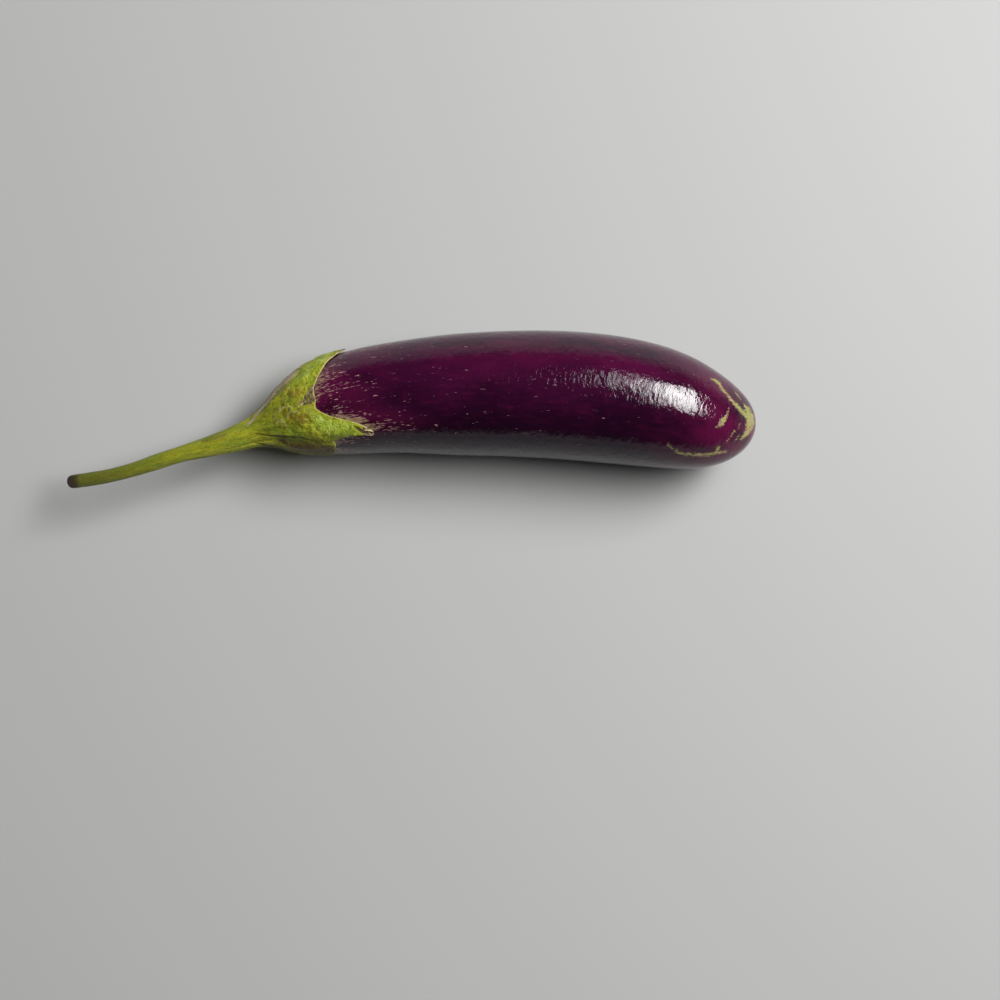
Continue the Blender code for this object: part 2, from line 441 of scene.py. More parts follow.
@dataclass(frozen=True)
class SkinFinish:
    """Glossy aubergine skin with pale corky streaks near the calyx and a healed scar."""

    deep: Colour = (0.014, 0.0008, 0.010)
    plum: Colour = (0.031, 0.0018, 0.019)
    magenta: Colour = (0.088, 0.0042, 0.034)
    painted_shade_purple: Colour = (0.005, 0.0005, 0.006)
    streak: Colour = (0.50, 0.27, 0.27)
    beige_streak: Colour = (0.36, 0.26, 0.14)
    cork: Colour = (0.36, 0.28, 0.13)
    cork_green: Colour = (0.28, 0.31, 0.08)
    crack: Colour = (0.12, 0.05, 0.035)

    def streaks(self, s: Shading, scale: Triple, density: Any) -> bpy.types.NodeSocket:
        """Ragged pale dashes that run along the fruit.

        Args:
            s: The material that they are part of.
            scale: How many dashes' places a metre has along x, y and z.
            density: The share of the places that has one.

        Returns:
            How strongly each spot is marked, from 0 to 1.
        """
        cells = s.add("TexVoronoi", {"Vector": s.grown(scale), "Scale": 1.0})
        chance = s.add("SeparateColor", {"Color": cells.outputs["Color"]}).outputs
        ragged = s.maths("MULTIPLY_ADD", s.noise((900, 2400, 2400), 3, 0.6), 0.9, cells.outputs["Distance"])
        size = s.maths("MULTIPLY_ADD", chance[2], 0.25, s.maths("MULTIPLY_ADD", density, 0.35, 0.52))
        present = s.maths("GREATER_THAN", density, chance[0])
        dash = s.maths("MULTIPLY", s.between(ragged, size, s.maths("SUBTRACT", size, 0.22)), present)
        return s.maths("MULTIPLY", dash, s.maths("MULTIPLY_ADD", chance[1], 0.75, 0.2))

    def material(self) -> bpy.types.Material:
        """Builds the skin's material.

        Returns:
            The material.
        """
        s = Shading("aubergine_skin")
        colour = s.mix(s.between(s.noise((22, 45, 45), 4), 0.36, 0.66), self.deep, self.plum)
        # magenta blush by the calyx rim and the blossom end, and painted light: a lighter flush on the lit +Y
        # flank
        blush_and_lit_flush = s.maths("MULTIPLY", s.mark(Mark.BLUSH), s.between(s.noise((45, 90, 90), 4), 0.25, 0.6))
        colour = s.mix(blush_and_lit_flush, colour, self.magenta)
        mottled = s.between(s.noise((140, 420, 420), 5, 0.65), 0.45, 0.75)
        colour = s.mix(s.maths("MULTIPLY", mottled, 0.35), colour, self.magenta)
        darker = s.between(s.noise((90, 700, 700), 4, 0.6), 0.5, 0.75)
        colour = s.mix(s.maths("MULTIPLY", darker, 0.4), colour, self.deep)

        # painted shade: darkens the skin's colour on the lower −Y flank towards near-black purple
        colour = s.mix(s.maths("MULTIPLY", s.mark(Mark.SHADED), 0.85), colour, self.painted_shade_purple)

        past_rim = s.mark(Mark.PAST_RIM)
        near = s.maths("POWER", math.e, s.maths("DIVIDE", past_rim, -5.0))
        wide = s.maths("POWER", math.e, s.maths("DIVIDE", past_rim, -24.0))
        patchy = s.between(s.noise((70, 240, 240), 3), 0.36, 0.6)
        density = s.maths("MULTIPLY_ADD", near, 0.42, s.maths("MULTIPLY", wide, 0.38))
        density = s.maths("MULTIPLY", density, s.maths("MULTIPLY_ADD", patchy, 0.9, 0.25))
        long_ones = self.streaks(s, (165, 1250, 1250), density)
        short_ones = self.streaks(s, (400, 1900, 1900), s.maths("ADD", density, 0.01))
        low = s.maths("MULTIPLY_ADD", density, -0.36, 0.7)
        merged = s.between(s.noise((200, 2000, 2000), 3, 0.6), low, s.maths("ADD", low, 0.1))
        pale = s.maths("MAXIMUM", s.maths("MAXIMUM", long_ones, short_ones), s.maths("MULTIPLY", merged, 0.6))
        streak = s.mix(s.maths("MULTIPLY", near, 1.2), self.streak, self.beige_streak)
        colour = s.mix(pale, colour, streak)

        scratches = s.noise((420, 1500, 1500), 3, 0.65)
        lumps = s.noise((650, 900, 900), 4, 0.65)
        frayed = s.maths("MULTIPLY_ADD", s.maths("ADD", scratches, lumps), -2.4, 2.35)
        scar = s.between(s.maths("ADD", s.mark(Mark.SCAR), frayed), 0.3, -0.6)
        cork = s.mix(s.between(s.noise((300, 420, 420), 3), 0.4, 0.6), self.cork, self.cork_green)
        cork = s.mix(s.between(lumps, 0.52, 0.66), cork, self.crack)
        colour = s.mix(s.maths("MULTIPLY", scar, 0.9), colour, cork)

        marked = s.maths("MAXIMUM", pale, scar)
        rough = s.maths("MULTIPLY_ADD", s.noise((60, 90, 90), 4), 0.06, 0.07)
        rough = s.maths("MULTIPLY_ADD", marked, 0.3, rough)
        peel = s.noise((700, 360, 360), 2, 0.4)
        height = s.maths("MULTIPLY_ADD", s.noise((240, 180, 180), 2, 0.4), 1.3, peel)
        wrinkles = s.maths("ABSOLUTE", s.maths("SUBTRACT", s.noise((520, 300, 300), 2, 0.5), 0.5))
        height = s.maths("MULTIPLY_ADD", s.between(wrinkles, 0.0, 0.07), 0.1, height)
        height = s.maths("MULTIPLY_ADD", marked, 0.3, height)
        s.wear(
            Base_Color=colour, Roughness=rough, IOR=1.5, Normal=s.bump(height, 0.155 * MM),
        )
        return s.material


@dataclass(frozen=True)
class GreenFinish:
    """Fleshy yellow-green calyx and stem, browned where they dry, with painted shade in creases and on the
    low front lobe and a painted sheen on one flank.
    """

    lime: Colour = (0.40, 0.395, 0.009)
    leaf: Colour = (0.21, 0.27, 0.006)
    fresh: Colour = (0.31, 0.42, 0.03)
    glint: Colour = (0.48, 0.56, 0.13)
    moss: Colour = (0.085, 0.095, 0.004)
    olive: Colour = (0.13, 0.15, 0.009)
    ochre: Colour = (0.25, 0.15, 0.010)
    beige: Colour = (0.46, 0.39, 0.11)
    scuffed_sheen: Colour = (0.46, 0.37, 0.25)
    brown: Colour = (0.066, 0.035, 0.008)
    crease_shade: Colour = (0.055, 0.035, 0.008)
    cream: Colour = (0.47, 0.37, 0.19)
    dry: Colour = (0.20, 0.15, 0.075)
    cut: Colour = (0.05, 0.032, 0.014)

    def material(self) -> bpy.types.Material:
        """Builds the green's material.

        Returns:
            The material.
        """
        s = Shading("calyx_green")
        ragged = s.noise((260, 420, 420), 5, 0.65)
        fine = s.noise((800, 1500, 1500), 4, 0.65)
        fray = s.maths("MULTIPLY_ADD", ragged, -9.0, 4.5)
        thin_fray = s.maths("MULTIPLY_ADD", fine, -1.3, 0.65)

        def patch(mark: Mark, edges: Any, reach: float) -> bpy.types.NodeSocket:
            """1 inside a patch, with frayed edges."""
            return s.between(s.maths("ADD", s.mark(mark), edges), reach, -reach)

        def lay(share: Any, strength: float, over: Any) -> bpy.types.NodeSocket:
            """The colour with another laid over it."""
            return s.mix(s.maths("MULTIPLY", share, strength), colour, over)

        colour = s.mix(s.between(s.noise((75, 200, 200), 4), 0.34, 0.58), self.leaf, self.lime)
        colour = lay(s.between(ragged, 0.55, 0.42), 0.5, self.leaf)
        along = s.add("SeparateXYZ", {"Vector": s.grown((1, 1, 1))}).outputs["X"]
        colour = lay(s.between(along, 0.055, 0.005), 1.0, self.olive)
        fleshy = patch(Mark.FLESHY, fray, 2.0)
        colour = lay(fleshy, 0.85, self.fresh)
        colour = lay(patch(Mark.OCHRE, fray, 2.0), 0.8, self.ochre)
        fibres = s.between(s.noise((70, 1300, 1300), 4, 0.65), 0.5, 0.7)
        colour = lay(fibres, 0.5, self.ochre)
        colour = lay(s.between(fine, 0.5, 0.34), 0.75, self.moss)
        colour = lay(s.between(fine, 0.54, 0.7), 0.4, self.glint)
        colour = lay(s.maths("MULTIPLY", fleshy, s.between(ragged, 0.52, 0.68)), 0.55, self.glint)
        # painted shade: brown over the low third lobe at the front, on top of its own browner colour; a brown
        # scuff on the stem shares the mark
        shaded = patch(Mark.SHADED, s.maths("MULTIPLY", fray, 0.6), 2.0)
        colour = lay(shaded, 0.9, self.brown)

        # painted shade: dark brown along the creases on the calyx's lower flank and in the notch under the
        # dry tip's flap; the creases are also sunk as relief
        creased = patch(Mark.CREASED, thin_fray, 0.3)
        colour = lay(creased, 0.85, self.crease_shade)
        # painted sheen: a pale grey-beige band along the upper-left outline, where the fine hairs catch the
        # light edge-on, over slightly dry, scuffed skin
        scuffed_sheen = patch(Mark.SCUFFED, s.maths("MULTIPLY", fray, 0.15), 0.5)
        colour = lay(scuffed_sheen, 0.9, self.scuffed_sheen)
        beige = patch(Mark.BEIGE, thin_fray, 0.45)
        colour = lay(beige, 0.95, self.beige)
        torn = patch(Mark.TORN, s.maths("MULTIPLY", fray, 0.3), 0.5)
        colour = lay(torn, 1.0, s.mix(s.between(fine, 0.4, 0.6), self.brown, self.dry))
        dry = s.between(s.maths("ADD", s.mark(Mark.DRY), s.maths("MULTIPLY", ragged, 0.5)), 0.55, 0.95)
        colour = lay(dry, 1.0, s.mix(s.between(fine, 0.4, 0.6), self.brown, self.dry))
        rim = s.between(s.maths("MULTIPLY_ADD", fray, 0.12, s.mark(Mark.TO_RIM)), 0.5, 0.1)
        # the cream rim is mostly held back under the painted shade
        colour = lay(s.maths("MULTIPLY", rim, s.maths("MULTIPLY_ADD", shaded, -0.7, 1.0)), 0.85, self.cream)
        browned = s.maths("ADD", s.mark(Mark.CUT), s.maths("MULTIPLY", ragged, 0.5))
        colour = lay(s.between(browned, 0.55, 1.0), 1.0, self.cut)

        height = s.maths("ADD", s.noise((110, 1100, 1100), 4, 0.65), s.maths("MULTIPLY", fine, 1.2))
        height = s.maths("MULTIPLY_ADD", creased, -0.8, height)
        height = s.maths("MULTIPLY_ADD", beige, 0.35, height)
        rough = s.maths("MULTIPLY_ADD", s.noise((150, 300, 300)), 0.2, 0.33)
        s.wear(
            Base_Color=colour, Roughness=s.maths("MULTIPLY_ADD", fleshy, -0.1, rough), IOR=1.4,
            Normal=s.bump(height, 0.75 * MM),
        )
        return s.material


@dataclass(frozen=True)
class DryFinish:
    """Dead, papery tissue: brown, with pale edges."""

    brown: Colour = (0.085, 0.055, 0.024)
    straw: Colour = (0.27, 0.21, 0.11)
    pale: Colour = (0.46, 0.37, 0.2)

    def material(self) -> bpy.types.Material:
        """Builds the dry tissue's material.

        Returns:
            The material.
        """
        s = Shading("dry_tissue")
        colour = s.mix(s.between(s.noise((500, 900, 900), 4, 0.6), 0.4, 0.6), self.brown, self.straw)
        edge = s.maths("MULTIPLY_ADD", s.noise((500, 700, 700), 3), -1.2, 0.6)
        colour = s.mix(s.between(s.maths("ADD", edge, s.mark(Mark.TO_RIM)), 1.1, 0.3), colour, self.pale)
        s.wear(Base_Color=colour, Roughness=0.6, Normal=s.bump(s.noise((900, 1500, 1500), 4), 0.2 * MM))
        return s.material


@dataclass(frozen=True)
class FloorFinish:
    """The plain pale surface."""

    colour: Colour = (0.41, 0.41, 0.405)
    roughness: float = 0.6

    def material(self) -> bpy.types.Material:
        """Builds the floor's material."""
        s = Shading("pale_floor")
        s.wear(Base_Color=(*self.colour, 1), Roughness=self.roughness)
        return s.material


class Piece:
    """A mesh that is shaped straight, marked, bent along the middle line and dressed."""

    def __init__(self, name: str, middle_line: MiddleLine) -> None:
        """Keeps the piece's name and the line that it is bent along."""
        self.name = name
        self.middle_line = middle_line
        self.object: bpy.types.Object | None = None

    def take(self) -> None:
        """Names the active object as this piece."""
        self.object = bpy.context.active_object
        self.object.name = self.object.data.name = self.name

    def choose(self) -> None:
        """Makes this piece the only selected object, and the active one."""
        bpy.ops.object.select_all(action="DESELECT")
        self.object.select_set(True)
        bpy.context.view_layer.objects.active = self.object

    def modify(self, kind: str, **settings: Any) -> None:
        """Adds a modifier and applies it.

        Args:
            kind: The modifier's type.
            **settings: The modifier's own properties.
        """
        self.choose()
        modifier = self.object.modifiers.new(kind.lower(), kind)
        for name, value in settings.items():
            setattr(modifier, name, value)
        bpy.ops.object.modifier_apply(modifier=modifier.name)

    def refine(self, smoothing: str, levels: int) -> None:
        """Splits each face in four, as often as levels says."""
        self.modify("SUBSURF", subdivision_type=smoothing, levels=levels, render_levels=levels)

    def points(self) -> Points:
        """The mesh's points as rows of x, y and z."""
        mesh = self.object.data
        points = np.empty(len(mesh.vertices) * 3)
        mesh.vertices.foreach_get("co", points)
        return points.reshape(-1, 3)

    def put(self, points: Points) -> None:
        """Moves the mesh's points."""
        self.object.data.vertices.foreach_set("co", points.ravel())
        self.object.data.update()

    def carry(self, mark: Mark, values: Points) -> None:
        """Keeps a number for each point, which the material reads."""
        layer = self.object.data.attributes.new(mark.value, "FLOAT", "POINT")
        layer.data.foreach_set("value", values.astype(np.float32))

    def keep_places(self, places: Points) -> None:
        """Keeps a place for each point, which the material's patterns follow."""
        layer = self.object.data.attributes.new(GROWN, "FLOAT_VECTOR", "POINT")
        layer.data.foreach_set("vector", places.astype(np.float32).ravel())

    def bend(self, straight: Points) -> None:
        """Lays the straight shape along the middle line."""
        self.put(self.middle_line.lay(straight))

    def dress(self, material: bpy.types.Material, node: str, slot: str) -> None:
        """Gives the piece its material and its place in the frame.

        Args:
            material: The finish.
            node: The solid that the piece stands for, if it does.
            slot: A material slot's name; not used.
        """
        self.choose()
        bpy.ops.object.shade_smooth()
        self.object.data.materials.clear()
        self.object.data.materials.append(material)
        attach(self.object, BODY)
        if node:
            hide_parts(node)
        log.info("%s: %d faces", self.name, len(self.object.data.polygons))


@dataclass
class Fruit:
    """The purple fruit."""

    form: FruitForm = FruitForm()
    green: GreenForm = GreenForm()
    finish: SkinFinish = SkinFinish()
    sides: int = 150
    rings: int = 150
    unevenness: float = 0.35 * MM
    dimple_depth: float = 0.8 * MM
    dimple_width: float = 4 * MM
    blush_from_rim: float = 40 * MM
    blush_from_blossom: float = 60 * MM
    rim_blush: float = 0.8
    # painted light: a lighter magenta flush on the +Y flank, which faces the main light
    lit_side_flush: float = 0.45
    lit_side_from: Pair = (-5, 30)
    lit_side_to: Pair = (120, 60)
    lit_side_past_crown: Pair = (50 * MM, 100 * MM)
    # painted shade: the lower −Y flank is darkened, fading out near the blossom end
    shaded_turns: Pair = (-12, -52)
    lit_before_blossom: Pair = (60 * MM, 10 * MM)
    upper_side: float = 23 * MM
    scars: tuple[Trail, ...] = (
        Trail((
            (121.6, 11.9, 0.3), (124.3, 10.6, 0.9), (125.7, 8.3, 0.6), (128, 5.4, 0.5),
            (130.3, 2.6, 0.7), (132.6, 0.3, 0.8), (134.9, -1.7, 0.9), (137, -4, 0.9),
        )),
        Trail((
            (135.2, 1.8, 0.3), (136.8, -0.2, 1.3), (138, -3, 1.9), (138.2, -5.9, 2),
            (137.2, -8.7, 1.4), (135.6, -10.8, 0.9), (134, -12.5, 0.3),
        )),
        Trail(((131.4, 7.3, 0.15), (132.7, 5.3, 0.25), (134, 3.5, 0.15))),
        Trail((
            (128.4, 0.1, 0.1), (127.6, -2.8, 0.3), (126.4, -4.7, 1.2), (125.3, -6.4, 0.9), (122.8, -7.9, 0.1),
        )),
        Trail((
            (103.5, -14.6, 0.35), (106.1, -16.7, 0.4), (108.7, -18.1, 0.5), (112.1, -18.7, 0.5),
            (116.2, -18.8, 0.55), (120.2, -18.8, 0.6), (123.8, -18.1, 0.6), (127.8, -17.5, 0.35),
        )),
        Trail(((124.7, -15.2, 0.2), (124.3, -16.6, 0.6), (123.7, -18.2, 0.5))),
        Trail(((129.5, -11.4, 0.1), (131.1, -9, 0.25))),
        Trail(((127.9, -13.4, 0.2), (129.1, -11.8, 0.1))),
        Trail(((132.4, -8.2, 0.1), (133.2, -6.1, 0.2))),
        Trail(((131.6, -13, 0.15), (133, -11, 0.1))),
    )

    def shaped(self, unit: Points) -> tuple[Points, Points, Points]:
        """Turns a unit ball's points into the straight fruit's.

        Args:
            unit: Points of a ball of radius 1, with its poles on X.

        Returns:
            The straight fruit's points, their distances past the crown, and their angles.
        """
        past_crown = self.form.length * (1 + np.clip(unit[:, 0], -1, 1)) / 2
        angle = np.arctan2(unit[:, 1], unit[:, 2])
        radius = self.form.radius(past_crown)
        straight = np.column_stack([
            self.green.stem_length + past_crown, radius * np.sin(angle), radius * np.cos(angle),
        ])
        return straight, past_crown, angle

    def build(self, middle_line: MiddleLine) -> Piece:
        """Makes the fruit's skin.

        Args:
            middle_line: The line that it is bent along.

        Returns:
            The dressed piece.
        """
        piece = Piece("fruit_skin", middle_line)
        bpy.ops.object.select_all(action="DESELECT")
        bpy.ops.mesh.primitive_uv_sphere_add(
            segments=self.sides, ring_count=self.rings, radius=1, rotation=(0, math.pi / 2, 0),
        )
        bpy.ops.object.transform_apply(location=False, rotation=True, scale=False)
        piece.take()
        piece.refine("SIMPLE", 1)
        straight, past_crown, angle = self.shaped(piece.points())

        to_blossom = self.form.length - past_crown
        radius = np.hypot(straight[:, 1], straight[:, 2])
        sunk = self.unevenness * (0.5 + 0.5 * cloud(straight, (60 * MM, 30 * MM, 30 * MM), 3.1, 2))
        dimple = np.exp(-((radius / self.dimple_width) ** 2)) * (to_blossom < 0.1 * self.form.length)
        sunk += self.dimple_depth * dimple
        shrink = 1 - sunk / np.maximum(radius, self.dimple_width)
        straight[:, 1:] *= shrink[:, None]

        past_rim = past_crown - self.green.reach(angle)
        blush_and_lit_flush = smooth_step(self.blush_from_rim, 0, past_rim) * self.rim_blush
        blush_and_lit_flush = np.maximum(blush_and_lit_flush, smooth_step(self.blush_from_blossom, 0, to_blossom))
        # painted light: the lit +Y flank gets a lighter magenta flush, rising from 50 to 100 mm past the
        # crown
        lit_side = smooth_step(*np.radians(self.lit_side_from), angle)
        lit_side = lit_side * smooth_step(*np.radians(self.lit_side_to), angle)
        lit_flush = self.lit_side_flush * lit_side * smooth_step(*self.lit_side_past_crown, past_crown)
        blush_and_lit_flush = np.maximum(blush_and_lit_flush, lit_flush)
        piece.carry(Mark.PAST_RIM, past_rim / MM)
        piece.carry(Mark.BLUSH, blush_and_lit_flush)
        # painted shade on the lower −Y flank
        lower = smooth_step(*np.radians(self.shaded_turns), angle) * smooth_step(math.pi, math.pi / 2, -angle)
        piece.carry(Mark.SHADED, lower * (1 - smooth_step(*self.lit_before_blossom, to_blossom)))
        piece.keep_places(straight)
        piece.bend(straight)
        laid = piece.points()
        laid[:, 2] = np.maximum(laid[:, 2], 0)
        piece.put(laid)
        piece.carry(Mark.SCAR, outside_all(self.scars, laid, self.upper_side))
        piece.dress(self.finish.material(), "fruit", "purple_skin")
        return piece


@dataclass
class CalyxAndStem:
    """The green calyx and the stem that it grew on."""

    form: GreenForm = GreenForm()
    fruit: FruitForm = FruitForm()
    finish: GreenFinish = GreenFinish()
    sides: int = 112
    stem_rings: int = 16
    cup_rings: int = 22
    inside_rings: int = 4
    levels: int = 2
    merge_distance: float = 0.002 * MM
    fit_gap: float = 0.03 * MM
    edge_height: float = 0.5 * MM
    thinned_from_rim: float = 7 * MM
    fan_radius: float = 9 * MM
    ragged_rim: float = 0.7 * MM
    main_rib: float = 0.55 * MM
    side_rib: float = 0.35 * MM
    wrinkle: float = 0.6 * MM
    pebble: float = 0.4 * MM
    browned_end: float = 10 * MM
    rounded_rim: float = 0.5 * MM
    rib_wander: float = 4
    main_rib_width: float = 7
    side_rib_width: float = 6
    side_rib_off: float = 24
    relief_from_rim: float = 10 * MM
    cup_relief: Pair = (78 * MM, 90 * MM)
    dry_from_tip: Pair = (4.5 * MM, 1 * MM)
    dry_width: float = 9 * MM
    patches: tuple[tuple[Mark, float, tuple[Trail, ...]], ...] = (
        (Mark.OCHRE, 20 * MM, (
            Trail(((-50.6, -2.5, 0.8), (-47.9, -3.8, 1.6), (-44.2, -3.5, 2), (-41, -2.6, 1.2))),
            Trail(((-49.6, 6.3, 0.8), (-46.1, 5.1, 1.2), (-44.5, 7.1, 0.5))),
        )),
        (Mark.BEIGE, 20 * MM, (
            Trail((
                (-55.9, -4.5, 0.2), (-55, -2.6, 0.35), (-53.4, -0.9, 0.45),
                (-51.3, 0.5, 0.5), (-49.2, 0.7, 0.4),
            )),
            Trail(((-49.2, 0.7, 0.4), (-48.2, -0.4, 0.15))),
            Trail((
                (-55.2, -6.5, 0.2), (-53.9, -5.1, 0.35), (-52.5, -4.7, 0.45),
                (-51.3, -5.7, 0.5), (-50.4, -7.7, 0.3),
            )),
            Trail(((-51.1, -3.8, 0.15), (-48.7, -2, 0.3), (-46.9, -1.5, 0.25), (-44.3, -0.6, 0.1))),
            Trail(((-45.5, 0.9, 0.4), (-43.7, 2.1, 0.9), (-41.7, 2.1, 0.5))),
        )),
        # painted sheen along the upper-left outline, over slightly dry skin
        (Mark.SCUFFED, 22 * MM, (
            Trail(((-66.9, -6.6, 0.4), (-63, -1.5, 0.7), (-58, 4.7, 1), (-54, 9.5, 1.2), (-48, 15, 1.4))),
        )),
        (Mark.TORN, 20 * MM, (
            Trail(((-44.1, 2, 0.3), (-41.7, 4.3, 0.9), (-39.7, 7, 1.2), (-39.2, 8.8, 0.4))),
            Trail(((-43.2, 1.3, 0.3), (-40.5, 2.5, 1), (-38.8, 3.9, 1.2))),
        )),
        # painted shade on the low third lobe, partly its own brown, and a brown scuff on the stem
        (Mark.SHADED, 0, (
            Trail((
                (-53.5, -12.9, 0.4), (-48.4, -14.5, 1.8), (-43, -15.8, 2.6),
                (-37.8, -16.6, 3), (-33.2, -17, 3),
            )),
            Trail(((-85, -12.9, 0.1), (-81.3, -11.9, 0.5), (-76.4, -10.4, 0.2))),
        )),
        # painted shade along creases, and in the notch under the dry tip's flap
        (Mark.CREASED, 15 * MM, (
            Trail((
                (-63.5, -10, 0.1), (-57.2, -11, 0.3), (-51.1, -11.4, 0.35),
                (-45, -11.8, 0.3), (-37.5, -13.5, 0.1),
            )),
            Trail(((-64.2, -13.6, 0.1), (-58.7, -14.8, 0.35), (-52.3, -16.1, 0.35), (-46.4, -17.2, 0.2))),
            Trail(((-22.6, -7.3, 0.2), (-20.6, -8.6, 0.7), (-18.8, -9.8, 0.5))),
        )),
        (Mark.FLESHY, 20 * MM, (
            Trail(((-39.7, -2, 1.2), (-35.9, -6.4, 3), (-30.8, -8, 3), (-25, -9.1, 2.4))),
            Trail(((-48.6, 9.5, 0.8), (-43.7, 14.1, 1.6), (-37.7, 19.6, 1.6), (-34.3, 23.2, 1))),
        )),
    )

    def outline(self) -> list[Pair]:
        """Draws the outline of stem and cup, out along the outside and back inside the cup.

        Returns:
            The distance from the cut end and the radius of each of its points.
        """
        form = self.form
        distance, radius = np.array(form.outside_mm).T * MM
        rim = form.stem_length + form.bay_reach
        edge = 0.2 * form.rim_thickness
        outside = np.append(
            np.linspace(distance[0], form.flare_start, self.stem_rings, endpoint=False),
            np.linspace(form.flare_start, rim - edge, self.cup_rings),
        )
        inside = form.bay_reach * (1 - np.sin(np.linspace(0, math.pi / 2, self.inside_rings)))
        inner_radius = self.fruit.radius(inside) + form.fit_gap
        outline = [(x * MM, r * MM) for x, r in form.cut_end_mm]
        outline += zip(outside, smooth_through(distance, radius, outside))
        outline.append((rim, inner_radius[0] + form.rim_thickness / 2))
        inner_gap = form.crown_gap * (1 - inside / form.bay_reach)
        outline += zip(form.stem_length + inside - inner_gap, inner_radius)
        outline.append((form.stem_length - form.crown_gap, 0))
        return outline

    def turn(self, piece: Piece) -> None:
        """Draws the outline point by point and spins it about the X axis.

        Args:
            piece: The piece that the spun shape becomes.
        """
        bpy.ops.object.select_all(action="DESELECT")
        bpy.ops.mesh.primitive_plane_add(size=MM)
        bpy.ops.object.mode_set(mode="EDIT")
        bpy.ops.mesh.select_all(action="SELECT")
        bpy.ops.mesh.merge(type="CENTER")
        outline = self.outline()
        for (x, r), (next_x, next_r) in zip(outline[:-1], outline[1:]):
            bpy.ops.mesh.extrude_vertices_move(
                TRANSFORM_OT_translate={"value": (next_x - x, 0, next_r - r)},
            )
        bpy.ops.mesh.select_all(action="SELECT")
        bpy.ops.mesh.spin(
            steps=self.sides, angle=2 * math.pi, center=(0, 0, 0), axis=(1, 0, 0), use_auto_merge=True,
        )
        bpy.ops.mesh.select_all(action="SELECT")
        bpy.ops.mesh.remove_doubles(threshold=self.merge_distance)
        bpy.ops.mesh.normals_make_consistent(inside=False)
        bpy.ops.object.mode_set(mode="OBJECT")
        piece.take()
        piece.refine("CATMULL_CLARK", self.levels)

    def fan(self, along: Points, angle: Points) -> Points:
        """Places that fan out with the ribs, for patterns that run from the stem into the lobes."""
        return np.column_stack([along, self.fan_radius * np.sin(angle), self.fan_radius * np.cos(angle)])

    def build(self, middle_line: MiddleLine) -> Piece:
        """Makes the calyx and the stem.

        Args:
            middle_line: The line that they are bent along.

        Returns:
            The dressed piece.
        """
        form = self.form
        piece = Piece("calyx_green", middle_line)
        self.turn(piece)
        along, y, z = piece.points().T
        angle, radius = np.arctan2(y, z), np.hypot(y, z)
        past_crown = along - form.stem_length
        in_cup = past_crown > form.cup_start

        round_rim = np.column_stack([np.zeros(len(angle)), np.sin(angle), np.cos(angle)])
        reach = form.reach(angle) + self.ragged_rim * cloud(round_rim, (1, 0.16, 0.16), 5.3, 4)
        stretch = (reach - form.cup_start) / (form.bay_reach - form.cup_start)
        stretched = np.where(in_cup, form.cup_start + (past_crown - form.cup_start) * stretch, past_crown)
        height = radius - self.fruit.radius(past_crown)
        outside = height > form.fit_gap + 0.4 * form.rim_thickness
        to_rim = reach - stretched
        thick = smooth_step(0, self.thinned_from_rim, to_rim)
        edge = self.edge_height * np.sqrt(np.clip(to_rim / self.rounded_rim, 0, 1))
        cup_height = np.where(outside, edge + (height - self.edge_height) * thick, self.fit_gap)
        new_radius = np.where(in_cup, self.fruit.radius(stretched) + cup_height, radius)

        grown_length = form.stem_length + stretched
        fan = self.fan(grown_length, angle)
        wander = np.radians(self.rib_wander) * cloud(fan, (25 * MM, 12 * MM, 12 * MM), 2.2, 2)
        rib_growth = smooth_step(form.rib_start, form.stem_length, grown_length)
        turn = angle.copy()
        ribs = np.zeros(len(angle))
        for lobe in form.lobes:
            to_tip = np.clip((stretched - form.bay_reach) / (lobe.reach - form.bay_reach), 0, 1)
            on_tip = lobe.share(angle) * to_tip**2
            new_radius += lobe.lift * on_tip
            turn += math.radians(lobe.sway) * on_tip
            off = lobe.off(angle + wander)
            off_side_rib = (np.abs(off) - self.side_rib_off) / self.side_rib_width
            main_ribs = self.main_rib * np.exp(-((off / self.main_rib_width) ** 2))
            ribs += main_ribs + self.side_rib * np.exp(-off_side_rib ** 2)
        relief = ribs * rib_growth * smooth_step(0, self.relief_from_rim, to_rim)

        on_cup = smooth_step(*self.cup_relief, grown_length)
        relief += self.wrinkle * (0.25 + 0.75 * on_cup) * cloud(fan, (8 * MM, 1.5 * MM, 1.5 * MM), 7.7, 3)
        straight = np.column_stack([grown_length, new_radius * np.sin(turn), new_radius * np.cos(turn)])
        relief += self.pebble * on_cup * cloud(straight, (2 * MM, 1.6 * MM, 1.6 * MM), 1.3, 2)

        relief = np.where(outside & (grown_length > 1.5 * MM), relief, 0)
        straight[:, 1:] *= (1 + relief / np.maximum(new_radius, MM))[:, None]

        dry = np.zeros(len(angle))
        for lobe in form.lobes:
            from_tip = np.hypot(lobe.reach - stretched, self.dry_width * (1 - lobe.share(angle)))
            dry = np.maximum(dry, smooth_step(*self.dry_from_tip, from_tip) * (lobe.lift > 0))
        piece.carry(Mark.TO_RIM, np.where(outside, to_rim / MM, 0))
        piece.carry(Mark.DRY, dry)
        piece.carry(Mark.CUT, smooth_step(self.browned_end, 0, along))
        piece.bend(straight)
        for mark, lowest, trails in self.patches:
            piece.carry(mark, outside_all(trails, piece.points(), lowest))
        piece.keep_places(fan)
        piece.dress(self.finish.material(), "calyx_and_stem", "green_calyx")
        return piece


@dataclass(frozen=True)
class Curl:
    """One dried flap. Places are mm past the crown and degrees of turn; roll is from the top, in degrees."""

    start: Pair
    end: Pair
    radius: float
    roll: Pair
    raised: float
    taper: float


